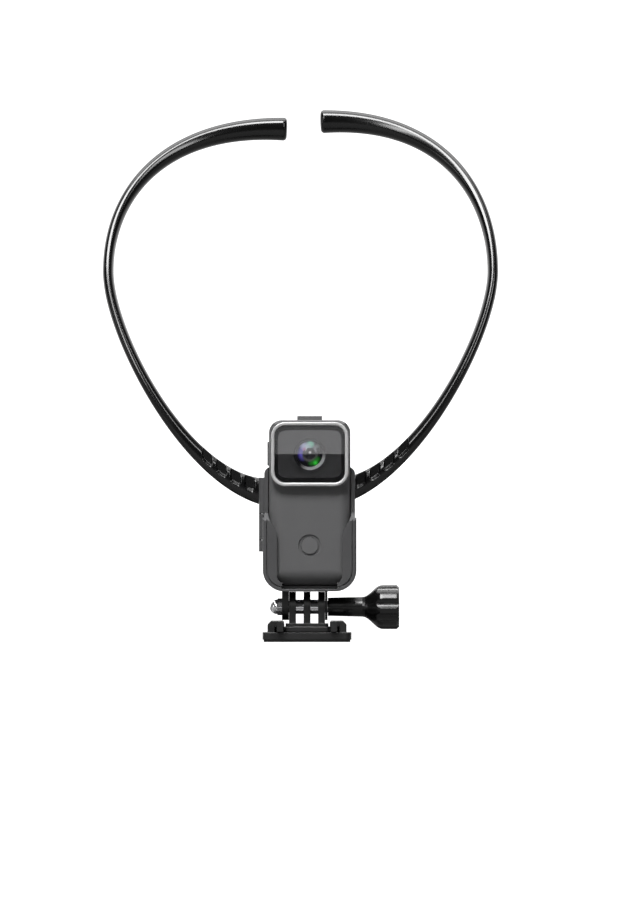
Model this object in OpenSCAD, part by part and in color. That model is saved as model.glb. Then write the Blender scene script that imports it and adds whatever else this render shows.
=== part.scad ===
// Thumb-size action camera in an open-front cradle, clamped on a silicone neck band,
// with a three-prong tilting mount and a slide-on base below. Millimetres.
// Origin: centre of the neck opening, in the middle plane of the neck band. The lens faces -Y.

/* [Camera] */
// Width of the camera body
cam_w = 34.3; // [33:0.1:35]
// Height of the camera body
cam_h = 69.5; // [68:0.5:71]
// Depth of the camera body
cam_d = 24; // [23.5:0.5:24.5]
// Housing wall thickness
wall = 1.5; // [1.2:0.1:1.8]
// Height of the lens centre above the camera's bottom
lens_z = 55.2; // [54.5:0.1:56]
// How far the lens block stands proud of the front
block_out = 3; // [2.5:0.1:3.5]
// Height of the round front button above the camera's bottom
front_button_z = 16.7; // [15:0.1:19]
// Radius of the round front button
front_button_r = 3.5; // [3:0.1:3.8]
// Width of the top button
top_button_w = 10.5; // [9:0.5:12]

/* [Cradle] */
// Outer width of the cradle's lower shell
cradle_w = 39.4; // [39:0.1:40]
// Outer width of the cradle's upper side walls
cradle_top_w = 38.2; // [38:0.1:38.6]
// Height of the cradle above the camera's bottom
cradle_top = 49.8; // [48:0.1:50]
// Half-width of the front opening between the side lips
lip_x = 13.6; // [12.5:0.1:14.5]
// Offset of the cradle from the middle of the neck band
cradle_x = 3.85; // [0:0.05:5]
// Radius of the clamp door's hinge pin
pin_r = 0.9; // [0.8:0.05:1]
// Running clearance of pins and shafts
fit = 0.06; // [0.03:0.01:0.09]

/* [Mount] */
// Width of a mount prong
prong_w = 2.9; // [2.8:0.1:3]
// Pitch of the mount prongs
prong_pitch = 6.1; // [6.1:0.1:6.2]
// Tip radius of a prong
prong_r = 6.3; // [5.8:0.1:6.3]
// Radius of the clamp bolt
bolt_r = 2.5; // [2.4:0.05:2.5]
// Length of the thumb screw's black part
knob_l = 30; // [26:0.1:32]
// Radius of the thumb screw's knob
knob_r = 9.4; // [8.5:0.1:10]
// Width of the base plate
base_w = 37.4; // [37:0.1:40]
// Depth of the base plate
base_d = 46; // [44:1:48]

/* [Neck band] */
// Half-width of the neck loop at its centreline
loop_half_w = 81.2; // [76:0.1:86]
// Band width where it meets the centre piece
root_w = 11.8; // [11:0.1:12]
// Band width at the sides of the neck
side_w = 4.8; // [4.5:0.1:5.5]
// Band width at the back ends
end_w = 10; // [9:0.1:11]
// Band depth where it is clamped
root_d = 5.6; // [5.2:0.1:5.6]
// Band depth at the sides of the neck
side_d = 10; // [8:0.5:11]
// How far the back ends lean behind the clamped part
lean = 46; // [20:1:60]

/* [Hidden] */
$fn = 64;

// places of the two sub-frames in the row frame
cradle_y = -17.4;
cradle_z = -116.3;
mount_x = -1.1;
pivot_drop = 9.04;

// camera
cam_corner = 5.5;
cam_edge = 5;
cam_roll = 3.5;
front_roll = 6.5;
cover_y = 4.3;
housing_y = 3.9;
front_y = -cam_d / 2;
block_y = front_y - block_out;
block_w = 33.4;
block_h = 27.8;
block_corner = 6.4;
ring_w = 32.6;
ring_h = 27;
ring_corner = 6;
window_w = 29.6;
window_h = 24;
window_corner = 4.8;
panel_w = 26.6;
panel_h = 20;
ring_y = block_y - 0.5;
mask_y = block_y + 1.1;
baffle_r = [8.9, 8.4, 7.8, 7.1, 6.75];
baffle_step = 0.6;
bezel_r = [6.7, 5.45];
bezel_y = mask_y + 1.4;
front_glass_r = 5.3;
barrel_r = 7.2;
barrel_bore = 5.35;
screw_x = 13.1;
screw_z = [5, 64.5];
screw_r = 0.8;
boss_r = 2.8;
boss_y = -1.8;
top_button_y = -1.5;
top_button_d = 7;
top_button_out = 1.7;
side_button_z = 55.3;
side_button_h = 10;
side_button_w = 4;
side_button_out = 0.65;
flange = 0.8;
flange_gap = 0.2;
flange_t = 1;
key_l = 2.6;
port_y = -3;
usb_x = -5;
usb_w = 8.9;
usb_h = 3.2;
usb_l = 7;
card_x = 6.3;
card_w = 12.2;
mic_x = -8.2;
status_z = 63.4;
grille = [8, 9];
screw_head_r = 1.6;
slot_t = 0.4;

// inside the camera: places along Y, and heights above the camera's bottom
front_glass_y = mask_y + 2.2;
middle_glass_y = -7.6;
rear_glass_y = -4.4;
rear_glass_r = 3.35;
barrel_end = -2.6;
sensor_t = 1;
board_t = 0.8;
board_y = 1.4;
board_w = 26;
board_h = 50;
board_z = 34.5;
battery_y = 6.6;
battery_t = 6.8;
battery_z = 37.5;

// cradle, in the camera's frame
room = 0.25;
shell_t = 2;
shell_h = 31;
floor_t = 2.3;
floor_z = -0.2;
cradle_bottom = floor_z - floor_t;
cradle_back = cam_d / 2 + 0.3 + shell_t;
cradle_front = front_y - 0.3 - 1.7;
cradle_corner = 9;
plan_corner = 5;
front_corner = 1.2;
rim_w = 1.5;
groove_w = 0.4;
rim_step = 0.5;
wall_front = front_y + 4;
lip_low = 20.8;
lip_high = 30.3;
lip_chamfer = 3;
slot_w = 23.2;
slot_low = -1.6;

// clamp door
hinge_x = -19.4;
hinge_y = 12.2;
knuckle_r = 2;
knuckles = [14.1, 18.8, 30.3, 45.3];
knuckle_gap = 0.4;
door_y = 21.1;
door_t = 2.4;
door_x = -10;
door_end = 16;
door_high = 47;
door_cut = 3;
door_lap = 1.2;
latch_low = 16;
latch_high = 28;
latch_x = [17.6, 19.4];
latch_y = 13.9;
pad_t = 0.8;
rib_y = 19.3;

// mount, in the pivot's frame
pivot_x = cradle_x + mount_x;
pivot_z = cradle_z - pivot_drop;
under = pivot_drop + cradle_bottom;
ear_r = 5.6;
ear_in = 7.6;
ear_left = 10.55;
ear_right_in = 7.6;
ear_right = 8.6;
ear_d = 12;
inlay_t = 1.2;
inlay_proud = 0.15;
bracket_screw_x = [-4, 4];
bracket_screw_r = 1;
bracket_head_r = 1.8;
nut_r = 3.1;
nut_hex_r = 3.55;
nut_hex_l = 1.9;
nut_l = 5.2;
nut_bore_l = 3.9;
knob_x = 8.75;
sleeve_r = 3.05;
plate_top = -6.96;
plate_t = 1.4;
plate_w = 18;
tray_t = 2;
tray_top = plate_top - plate_t;
tray_low = tray_top - tray_t;
base_top = -10.66;
base_low = -13.66;
pad_low = -14.66;
rail_top = -5.86;
rail_in = 9.6;
rail_foot = 13.6;
rail_out = 16.6;
rail_gap = 0.3;
stop_y = 20;
tray_w = 17.6;
tray_wide = 26.4;
tray_back = 19.5;
tray_front = -20;
finger_x = 11.3;
finger_y = -5;
finger_root = 1.6;
finger_w = 2.2;
finger_end = -25;
tab_w = 2.8;
tab_y = [-27.5, -24.2];
tab_h = 2.4;
knob_neck_r = [3.85, 4.2];
knob_neck_l = 14.5;
knob_flare_l = 8.5;
knob_bore_l = 12;
flutes = 9;
flute_r = 3;
flute_out = 1.9;

// neck band: height of the widest place, of the clamped middle, and of the back ends above the origin
loop_wide_z = 16.2;
band_z = -77.2;
flex_x = 14;
end_gap = [5.7, 8.4];
end_level = [76.5, 79.7];
centre_dip = 0.8;
root_s = 0.03;
arm_last_s = 1.98;
core_w = 3;
core_t = 1.2;
core_s = 1.8;
band_sides = 20;
band_power = 2.6;

// ---------- shared shapes ----------

module in_cradle() {
    translate([cradle_x, cradle_y, cradle_z]) children();
}

module at_pivot() {
    translate([pivot_x, cradle_y, pivot_z]) children();
}

// rounded rectangle centred on the origin
module rounded(w, h, r) {
    square([w, h - 2 * r], center = true);
    square([w - 2 * r, h], center = true);
    for (x = [-1, 1], y = [-1, 1]) {
        translate([x * (w / 2 - r), y * (h / 2 - r)]) circle(r);
    }
}

// a plate across the view: drawn in X and Z, from y0 to y1
module across(y0, y1) {
    translate([0, y1, 0]) rotate([90, 0, 0]) linear_extrude(y1 - y0) children();
}

// a rod along X from x0 to x1
module rod_x(r, x0, x1) {
    translate([x0, 0, 0]) rotate([0, 90, 0]) cylinder(r = r, h = x1 - x0);
}

// a rod along Y from y0 to y1
module rod_y(r, y0, y1) {
    translate([0, y1, 0]) rotate([90, 0, 0]) cylinder(r = r, h = y1 - y0);
}

// a block between two corners
module block(low, high) {
    translate(low) cube(high - low);
}

// what rounding by r takes off a square corner at the origin
module corner_waste(r) {
    difference() {
        translate([-1, -1]) square(r + 1);
        translate([r, r]) circle(r);
    }
}

// the camera's outer form, shrunk by t on every side; its front edge rolls under at the bottom
module camera_form(t) {
    w = cam_w - 2 * t;
    d = cam_d - 2 * t;
    h = cam_h - 2 * t;
    translate([0, 0, cam_h / 2]) intersection() {
        across(-d / 2, d / 2) rounded(w, h, cam_corner - t);
        translate([0, 0, -h / 2]) linear_extrude(h) rounded(w, d, cam_edge - t);
        rotate([90, 0, 90]) translate([0, 0, -w / 2]) linear_extrude(w) difference() {
            rounded(d, h, cam_roll - t / 2);
            translate([-d / 2, -h / 2]) corner_waste(front_roll - t);
        }
    }
}

// repeats a thing at the four case screws
module at_screws() {
    for (x = [-1, 1], z = screw_z) {
        translate([x * screw_x, 0, z]) children();
    }
}

// a disc about the lens axis
module lens_disc(r, y0, y1) {
    translate([0, 0, lens_z]) rod_y(r, y0, y1);
}

// ---------- camera ----------

module camera_housing() {
    color("dimgray") in_cradle() difference() {
        union() {
            intersection() {
                camera_form(0);
                block([-cam_w, -cam_d, -1], [cam_w, housing_y, cam_h + 1]);
            }
            translate([0, 0, lens_z]) across(block_y, front_y + 5) rounded(block_w, block_h, block_corner);
        }
        difference() {
            camera_form(wall);
            at_screws() rod_y(boss_r, boss_y, housing_y + 1);
        }
        translate([0, 0, lens_z]) {
            across(block_y - 1, block_y + 1) rounded(ring_w, ring_h, ring_corner);
            across(block_y - 1, mask_y + 0.7) rounded(window_w - 0.4, window_h - 0.4, window_corner);
        }
        lens_disc(baffle_r[0] + 0.1, block_y, front_y + wall + 1);
        translate([0, 0, front_button_z]) {
            rod_y(front_button_r + 1.2, front_y - 1, front_y + 0.5);
            rod_y(front_button_r + fit, front_y - 1, front_y + wall + 1);
        }
        translate([-top_button_w / 2 - fit, top_button_y - top_button_d / 2 - fit, cam_h - wall - 1])
            cube([top_button_w + 2 * fit, top_button_d + 2 * fit, wall + 2]);
        block([-cam_w / 2 - 1, -side_button_w / 2 - fit, side_button_z - side_button_h / 2 - fit],
              [-cam_w / 2 + wall + 1, side_button_w / 2 + fit, side_button_z + side_button_h / 2 + fit]);
        translate([usb_x, port_y, -1]) linear_extrude(wall + 2) rounded(usb_w + 0.3, usb_h + 0.2, usb_h / 2);
        translate([card_x, port_y, -1]) linear_extrude(wall + 2) rounded(card_w - 1.2, 1.4, 0.6);
        translate([mic_x, port_y, cam_h - wall - 1]) cylinder(r = 0.5, h = wall + 2, $fn = 24);
        at_screws() rod_y(screw_r, boss_y + 0.4, housing_y + 1);
    }
}

module camera_rear_cover() {
    color("dimgray") in_cradle() difference() {
        intersection() {
            camera_form(0);
            block([-cam_w, cover_y, -1], [cam_w, cam_d, cam_h + 1]);
        }
        difference() {
            camera_form(wall);
            at_screws() rod_y(boss_r, cover_y - 1, cam_d);
        }
        at_screws() {
            rod_y(screw_r + 0.1, cover_y - 1, cam_d);
            rod_y(screw_head_r + 0.1, cam_d / 2 - 1.2, cam_d);
        }
        for (i = [-2:2]) {
            translate([grille[0] + 1.6 * i, 0, grille[1]]) rod_y(0.5, cam_d / 2 - wall - 1, cam_d, $fn = 24);
        }
        translate([0, 0, status_z]) rod_y(1.05, cam_d / 2 - wall - 1, cam_d);
    }
}

module case_gasket() {
    color("black") in_cradle() translate([0, 0, cam_h / 2]) across(housing_y, cover_y) difference() {
        rounded(cam_w - 0.8, cam_h - 0.8, cam_corner - 0.4);
        rounded(cam_w - 2 * wall, cam_h - 2 * wall, cam_corner - wall);
    }
}

module case_screws() {
    color("silver") in_cradle() at_screws() difference() {
        union() {
            rod_y(screw_r, boss_y + 0.4, cam_d / 2 - 0.5);
            rod_y(screw_head_r, cam_d / 2 - 1.2, cam_d / 2 - 0.2);
        }
        across(cam_d / 2 - 0.7, cam_d) square([screw_head_r, slot_t], center = true);
        across(cam_d / 2 - 0.7, cam_d) square([slot_t, screw_head_r], center = true);
    }
}

module lens_trim_ring() {
    color("gainsboro") in_cradle() translate([0, 0, lens_z]) across(ring_y, block_y + 1) difference() {
        rounded(ring_w - 0.04, ring_h - 0.04, ring_corner);
        rounded(window_w, window_h, window_corner);
    }
}

module lens_window() {
    color([0.1, 0.1, 0.12, 0.5]) in_cradle() translate([0, 0, lens_z])
        across(block_y, block_y + 1) rounded(window_w - 0.1, window_h - 0.1, window_corner);
}

module lens_mask() {
    color([0.15, 0.15, 0.15]) in_cradle() difference() {
        translate([0, 0, lens_z]) {
            across(mask_y + 0.2, mask_y + 0.6) rounded(window_w - 0.6, window_h - 0.6, window_corner);
            across(mask_y, mask_y + 0.3) rounded(panel_w, panel_h, 3.4);
        }
        lens_disc(baffle_r[1], mask_y - 1, mask_y + 2);
    }
}

// three concentric steps that lead down to the bezel
module lens_baffle() {
    last = len(baffle_r) - 1;
    steps = [for (i = [last:-1:1], up = [0, 1]) [baffle_r[i], (i - up) * baffle_step]];
    color([0.12, 0.12, 0.12]) in_cradle() translate([0, mask_y + baffle_step, lens_z]) rotate([-90, 0, 0])
        rotate_extrude() polygon(concat([[baffle_r[0], 0], [baffle_r[0], last * baffle_step]], steps));
}

module lens_bezel() {
    top = (bezel_r[0] + bezel_r[1]) / 2;
    color("darkgray") in_cradle() translate([0, bezel_y, lens_z]) rotate([-90, 0, 0]) rotate_extrude()
        polygon([[bezel_r[1], 1.2], [top, 0], [bezel_r[0], 0.3], [bezel_r[0], 2], [bezel_r[1], 2]]);
}

// a round glass with one domed face; the dome points to -Y
module lens_glass(r, edge, dome) {
    ball = (r * r + dome * dome) / (2 * dome);
    intersection() {
        rod_y(r, -dome - 1, edge);
        translate([0, ball - dome, 0]) sphere(ball, $fn = 200);
    }
}

module lens_front_element() {
    color([0.2, 0.2, 0.35, 0.6]) in_cradle() translate([0, front_glass_y, lens_z])
        lens_glass(front_glass_r, 1.2, 1.4);
}

module lens_barrel() {
    color([0.1, 0.1, 0.1]) in_cradle() difference() {
        lens_disc(barrel_r, mask_y + 3.4, barrel_end);
        lens_disc(barrel_bore, mask_y + 3, -5);
        lens_disc(rear_glass_r + 0.05, -6, 0);
    }
}

module lens_middle_element() {
    color([0.2, 0.3, 0.3, 0.6]) in_cradle() translate([0, middle_glass_y, lens_z])
        lens_glass(barrel_bore - 0.05, 1, 0.8);
}

module lens_rear_element() {
    color([0.2, 0.3, 0.3, 0.6]) in_cradle() translate([0, rear_glass_y, lens_z])
        lens_glass(rear_glass_r, 1, 0.5);
}

module image_sensor() {
    color("darkslateblue") in_cradle() translate([0, 0, lens_z])
        across(barrel_end, barrel_end + sensor_t) square([9, 7], center = true);
}

module sensor_board() {
    low = barrel_end + sensor_t;
    color("darkgreen") in_cradle() translate([0, 0, lens_z])
        across(low, low + board_t) square([20, 14], center = true);
}

module main_board() {
    color("darkgreen") in_cradle() translate([0, 0, board_z]) {
        across(board_y, board_y + board_t) square([board_w, board_h], center = true);
        across(board_y - 1, board_y) square([12, 12], center = true);
        across(board_y - 1.8, board_y) translate([9, -12]) square([6, 7], center = true);
    }
}

module heat_plate() {
    low = board_y + board_t + 0.2;
    color("lightgray") in_cradle() translate([0, 0, board_z])
        across(low, low + 0.5) rounded(board_w, board_h + 2, 2);
}

module battery() {
    color("steelblue") in_cradle() translate([0, 0, battery_z])
        across(battery_y - battery_t / 2, battery_y + battery_t / 2) rounded(27, 48, 1.5);
}

// one tact switch: its case with a small plunger towards +Z
module tact_switch() {
    translate([-2.5, -2.5, -2.4]) cube([5, 5, 1.8]);
    translate([0, 0, -0.7]) cylinder(r = 1.1, h = 0.7);
}

module button_switches() {
    color("goldenrod") in_cradle() {
        translate([0, front_y + 3.3, front_button_z]) rotate([90, 0, 0]) tact_switch();
        translate([0, top_button_y, cam_h - wall - 2.1]) tact_switch();
        translate([-cam_w / 2 + wall + 1.75, board_y - 2.8, side_button_z]) rotate([0, -90, 0]) tact_switch();
    }
}

module speaker() {
    color("darkslategray") in_cradle() block([2.4, 3.4, 3.6], [9.8, 10.2, 12.4]);
}

module microphone() {
    color("gold") in_cradle() block([-9.5, -4.5, cam_h - wall - 1.2], [-6.9, -1.5, cam_h - wall - 0.1]);
}

module charging_socket() {
    color("silver") in_cradle() difference() {
        translate([usb_x, port_y, 0.2]) linear_extrude(usb_l) rounded(usb_w, usb_h, 1.5);
        translate([usb_x, port_y, 0]) linear_extrude(usb_l - 1) rounded(usb_w - 0.6, usb_h - 0.6, 1.2);
    }
}

module card_socket() {
    low = [card_x - card_w / 2, port_y - 1, wall + 0.1];
    high = [card_x + card_w / 2, port_y + 1, 16];
    color("silver") in_cradle() difference() {
        block(low, high);
        block(low + [0.7, 0.5, -wall], high - [0.7, 0.5, 1]);
    }
}

module status_light() {
    color("palegreen") in_cradle() translate([0, 0, status_z]) rod_y(1, cam_d / 2 - 2.5, cam_d / 2 - 0.1);
}

// ---------- buttons ----------

module front_button() {
    color("gray") in_cradle() translate([0, 0, front_button_z]) {
        rod_y(front_button_r, front_y - 0.05, front_y + key_l);
        rod_y(front_button_r + flange, front_y + wall + flange_gap, front_y + key_l);
    }
}

module top_button() {
    w = top_button_w / 2;
    d = top_button_d / 2;
    low = -flange_gap - flange_t;
    top = wall + top_button_out;
    color("dimgray") in_cradle() translate([0, top_button_y, cam_h - wall]) {
        block([-w, -d, low], [w, d, top - top_button_out / 2]);
        block([-w, -d + 0.4, 0], [w, d - 0.4, top]);
        block([-w - flange, -d - flange, low], [w + flange, d + flange, low + flange_t]);
    }
}

module side_button() {
    w = side_button_w / 2;
    h = side_button_h / 2;
    inner = wall + flange_gap + flange_t;
    color("dimgray") in_cradle() translate([-cam_w / 2, 0, side_button_z]) {
        block([-side_button_out, -w, -h], [inner, w, h]);
        block([inner - flange_t, -w - flange, -h - flange], [inner, w + flange, h + flange]);
    }
}

// ---------- cradle ----------

// half-width of the front opening: straight up to lip_low, then swinging out to the side walls
function lip_at(z) =
    lip_x + (cam_w / 2 + room - lip_x) * (1 - cos(180 * (z - lip_low) / (lip_high - lip_low))) / 2;

module front_opening() {
    lip = [for (i = [0:8]) let (z = lip_low + (lip_high - lip_low) * i / 8) [lip_at(z), z]];
    mirrored = [for (i = [8:-1:0]) [-lip[i][0], lip[i][1]]];
    polygon(concat(lip, mirrored));
    translate([-lip_x, 4]) square([2 * lip_x, lip_low - 4]);
    translate([0, 7]) rounded(2 * lip_x, 12.4, 3.2);
}

// the cradle's outline from the front, shrunk by t: a lower shell and slightly narrower side walls
module cradle_outline(t) {
    h = cradle_top - cradle_bottom;
    intersection() {
        translate([0, cradle_bottom + h]) rounded(cradle_w - 2 * t, 2 * h - 2 * t, cradle_corner - t);
        union() {
            translate([0, cradle_bottom + h / 2]) rounded(cradle_top_w - 2 * t, h - 2 * t, 3 - t);
            translate([0, cradle_bottom + shell_h / 2]) square([cradle_w, shell_h], center = true);
        }
    }
}

// the front layer: a rim, a groove beside it and the flat border inside the groove
module cradle_rim() {
    difference() {
        cradle_outline(0);
        cradle_outline(rim_w);
    }
    cradle_outline(rim_w + groove_w);
}

// a slope on the front tops of the lips
module lip_slope() {
    low = [cradle_front - 1, lip_high - lip_chamfer - 1];
    high = [cradle_front + lip_chamfer + 1, lip_high + 1];
    rotate([90, 0, 90]) translate([0, 0, -cradle_w]) linear_extrude(2 * cradle_w)
        polygon([low, [low[0], high[1]], high]);
}

// the cradle's outline from above, with tighter corners in front
module cradle_plan() {
    depth = cradle_back - cradle_front;
    translate([0, (cradle_front + cradle_back) / 2, cradle_bottom - 1]) linear_extrude(60) {
        rounded(cradle_w, depth, plan_corner);
        translate([0, -depth / 4]) rounded(cradle_w, depth / 2, front_corner);
    }
}

module cradle_shell() {
    cavity_w = cam_w + 2 * room;
    color([0.33, 0.33, 0.33]) in_cradle() difference() {
        union() {
            intersection() {
                union() {
                    across(cradle_front, cradle_front + rim_step + 0.1) cradle_rim();
                    across(cradle_front + rim_step, cradle_back) cradle_outline(0);
                }
                cradle_plan();
            }
            for (i = [0, 2]) {
                translate([hinge_x, hinge_y, knuckles[i]])
                    cylinder(r = knuckle_r, h = knuckles[i + 1] - knuckles[i]);
                block([hinge_x, hinge_y, knuckles[i]], [hinge_x + 3, cradle_back, knuckles[i + 1]]);
            }
            for (z = [31.2, 44.9]) {
                block([-9, cradle_back - 1, z], [6, rib_y, z + 1.2]);
            }
        }
        translate([0, 0, floor_z]) linear_extrude(80) rounded(cavity_w, cam_d + 0.6, 4.6);
        across(cradle_front - 1, wall_front) front_opening();
        block([-cradle_w, cradle_front - 1, lip_high], [cradle_w, wall_front, cradle_top + 1]);
        lip_slope();
        block([-slot_w / 2, cradle_front - 1, slot_low], [slot_w / 2, -7.2, floor_z + 1]);
        translate([mount_x, 0, cradle_bottom])
            block([-ear_left, -ear_d / 2, -1], [ear_right, ear_d / 2, inlay_t]);
        for (x = bracket_screw_x) {
            translate([mount_x + x, 0, cradle_bottom]) cylinder(r = bracket_screw_r + 0.1, h = 5);
            translate([mount_x + x, 0, floor_z - 0.8]) cylinder(r = bracket_head_r + 0.1, h = 5);
        }
        translate([hinge_x, hinge_y, knuckles[1]])
            cylinder(r = knuckle_r + knuckle_gap, h = knuckles[2] - knuckles[1]);
        block([hinge_x - 3, hinge_y, knuckles[1]], [hinge_x + 2.4, cradle_back + 1, knuckles[2]]);
        translate([hinge_x, hinge_y, 0]) cylinder(r = pin_r, h = 60);
    }
}

module ear_bracket() {
    color([0.12, 0.12, 0.12]) at_pivot() difference() {
        union() {
            block([-ear_left, -ear_d / 2, under - inlay_proud], [ear_right, ear_d / 2, under + inlay_t]);
            for (x = [[-ear_left, -ear_in], [ear_right_in, ear_right]]) {
                rod_x(ear_r, x[0], x[1]);
                block([x[0], -ear_r, 0], [x[1], ear_r, under + 0.1]);
            }
        }
        rod_x(bolt_r + fit, -20, 20);
        for (x = bracket_screw_x) {
            translate([x, 0, 0]) cylinder(r = bracket_screw_r, h = 20);
        }
    }
}

module bracket_screws() {
    color("silver") at_pivot() for (x = bracket_screw_x) {
        translate([x, 0, under + 0.1]) cylinder(r = bracket_screw_r, h = floor_t - 0.3);
        translate([x, 0, under + floor_t - 0.75]) cylinder(r = bracket_head_r, h = 0.6);
    }
}

module acorn_nut() {
    color("gainsboro") at_pivot() difference() {
        union() {
            rod_x(nut_hex_r, -ear_left - nut_hex_l, -ear_left, $fn = 6);
            translate([-ear_left, 0, 0]) rotate([0, -90, 0]) rotate_extrude() intersection() {
                union() {
                    square([nut_r, nut_l - nut_r]);
                    translate([0, nut_l - nut_r]) circle(nut_r);
                }
                square([nut_r + 1, nut_l + 1]);
            }
        }
        rod_x(bolt_r + fit, -ear_left - nut_bore_l, 0);
    }
}

// ---------- clamp door ----------

module clamp_hinge_pin() {
    color("silver") in_cradle() translate([hinge_x, hinge_y, knuckles[0] + 0.1])
        cylinder(r = pin_r, h = knuckles[3] - knuckles[0] - 0.2);
}

// the plate runs from the knuckle, round the pad above, to the latch hook beside the cradle's rear corner
module clamp_door() {
    low = knuckles[1] + knuckle_gap;
    high = knuckles[2] - knuckle_gap;
    left = hinge_x - knuckle_r;
    color([0.28, 0.28, 0.28]) in_cradle() difference() {
        union() {
            translate([hinge_x, hinge_y, low]) cylinder(r = knuckle_r, h = high - low);
            block([left, hinge_y, low], [hinge_x + 0.2, door_y + door_t, high]);
            across(door_y, door_y + door_t) polygon([
                [left, low - door_lap], [left, high + door_lap], [door_x, high + door_lap],
                [door_x, door_high - door_cut], [door_x + door_cut, door_high],
                [door_end - door_cut, door_high], [door_end, door_high - door_cut],
                [door_end, latch_high + door_cut], [latch_x[1], latch_high], [latch_x[1], latch_low],
                [door_x, latch_low - 1], [door_x - door_cut, low - door_lap]
            ]);
            block([latch_x[0], latch_y, latch_low], [latch_x[1], door_y + door_t, latch_high]);
        }
        translate([hinge_x, hinge_y, 0]) cylinder(r = pin_r + fit, h = 60);
    }
}

module clamp_pad() {
    color("black") in_cradle() across(door_y - pad_t, door_y)
        translate([2.5, 38]) rounded(22, 11, 2);
}

// ---------- neck band ----------

function bezier(p, t) =
    pow(1 - t, 3) * p[0] + 3 * pow(1 - t, 2) * t * p[1] + 3 * (1 - t) * t * t * p[2] + pow(t, 3) * p[3];

// control points in X and Z of the lower and the upper half of an arm; k = 0 left, 1 right
function arm_low() = [[flex_x, band_z], [flex_x + 34.7, band_z + 4.5],
                      [loop_half_w, loop_wide_z - 25.9], [loop_half_w, loop_wide_z]];
function arm_high(k) = [[loop_half_w, loop_wide_z], [loop_half_w, loop_wide_z + 34],
                        [end_gap[k] + 50.8, end_level[k] + 2.4], [end_gap[k], end_level[k]]];

// the arm's centreline for s from 0 at the flex joint to 2 at the back end
function lean_at(z) = lean * pow((z - band_z) / (end_level[0] - band_z), 2);
function in_plane(s, k) = s < 1 ? bezier(arm_low(), s) : bezier(arm_high(k), s - 1);
function arm_point(s, k) = let (p = in_plane(s, k)) [p[0], lean_at(p[1]), p[1]];
function width_at(s) =
    s < 1 ? side_w + (root_w - side_w) * pow(1 - s, 4) : side_w + (end_w - side_w) * pow(s - 1, 1.7);
function blend(t) = t < 0 ? 0 : t > 1 ? 1 : t * t * (3 - 2 * t);
function depth_at(s) =
    root_d + (side_d - root_d) * blend((s - 0.14) / 0.7) - (side_d - end_w) * blend((s - 1.2) / 0.8);

function unit(v) = v / norm(v);
function power(x) = sign(x) * pow(abs(x), 2 / band_power);

// one ring of the band's section: n runs across its width, m through its depth
function ring(c, n, m, w, d) = [
    for (i = [0:band_sides - 1]) let (a = 360 * i / band_sides)
        c + n * (w / 2 * power(cos(a))) + m * (d / 2 * power(sin(a)))
];

function arm_ring(s, k, w, d) =
    let (along = unit(arm_point(s + 0.01, k) - arm_point(s - 0.01, k)),
         m = unit([0, 1, 0] - along * along[1]),
         n = cross(m, along))
    ring(arm_point(s, k), n, m, w, d);

// a solid through equal rings, closed at both ends
module skin(rings) {
    n = len(rings[0]);
    last = len(rings) - 1;
    sides = [for (j = [0:last - 1], i = [0:n - 1])
        let (i2 = (i + 1) % n) [j * n + i, j * n + i2, (j + 1) * n + i2, (j + 1) * n + i]];
    caps = [[for (i = [n - 1:-1:0]) i], [for (i = [0:n - 1]) last * n + i]];
    polyhedron([for (r = rings) each r], concat(sides, caps));
}

module arm_solid(k) {
    low = [for (i = [0:15]) root_s + (1 - root_s) * i / 16];
    high = [for (i = [0:17]) 1 + (arm_last_s - 1) * i / 17];
    skin(concat(
        [for (s = concat(low, high)) arm_ring(s, k, width_at(s), depth_at(s))],
        [for (a = [30, 60, 80]) let (s = arm_last_s + 0.025 * sin(a), share = 0.35 + 0.65 * cos(a))
            arm_ring(s, k, width_at(s) * share, depth_at(s) * share)]));
}

module core_solid(k) {
    skin([for (i = [0:14]) let (s = root_s + 0.002 + core_s * i / 14) arm_ring(s, k, core_w, core_t)]);
}

module left_arm() {
    color([0.08, 0.08, 0.08]) mirror([1, 0, 0]) arm_solid(0);
}

module right_arm() {
    color([0.08, 0.08, 0.08]) arm_solid(1);
}

module left_arm_core() {
    color("silver") mirror([1, 0, 0]) core_solid(0);
}

module right_arm_core() {
    color("silver") core_solid(1);
}

function centre_ring(x, w, d) =
    ring([x, 0, band_z - centre_dip * (1 - pow(x / flex_x, 2))], [0, 0, 1], [0, 1, 0], w, d);

module neck_band_centre() {
    color([0.08, 0.08, 0.08]) skin([for (i = [-4:4]) centre_ring(-flex_x * i / 4, root_w, root_d)]);
}

module neck_core_centre() {
    color("silver") skin([for (i = [-4:4]) centre_ring(-(flex_x - 0.5) * i / 4, core_w, core_t)]);
}

// ---------- buckle, thumb screw and base ----------

module buckle() {
    color([0.1, 0.1, 0.1]) at_pivot() difference() {
        union() {
            for (i = [-1:1]) {
                translate([i * prong_pitch, 0, 0]) {
                    rod_x(prong_r, -prong_w / 2, prong_w / 2);
                    block([-prong_w / 2, -prong_r, plate_top - 0.2], [prong_w / 2, prong_r, 0]);
                }
            }
            translate([0, 0, tray_top]) linear_extrude(plate_t) rounded(plate_w, 15, 1.5);
            block([-tray_w / 2, tray_front, tray_low], [tray_w / 2, tray_back, tray_top]);
            block([-tray_wide / 2, finger_y - 0.6, tray_low], [tray_wide / 2, tray_back, tray_top]);
        }
        rod_x(bolt_r + fit, -20, 20);
        for (x = [-1, 1]) {
            translate([x * finger_x, finger_y, tray_low - 1]) cylinder(r = finger_root + fit, h = tray_t + 2);
        }
    }
}

module spacer_sleeves() {
    gap = prong_pitch - prong_w;
    color("gainsboro") at_pivot() for (x = [-1, 1]) {
        difference() {
            rod_x(sleeve_r, x * prong_pitch / 2 - gap / 2, x * prong_pitch / 2 + gap / 2);
            rod_x(bolt_r + fit, -20, 20);
        }
    }
}

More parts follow.
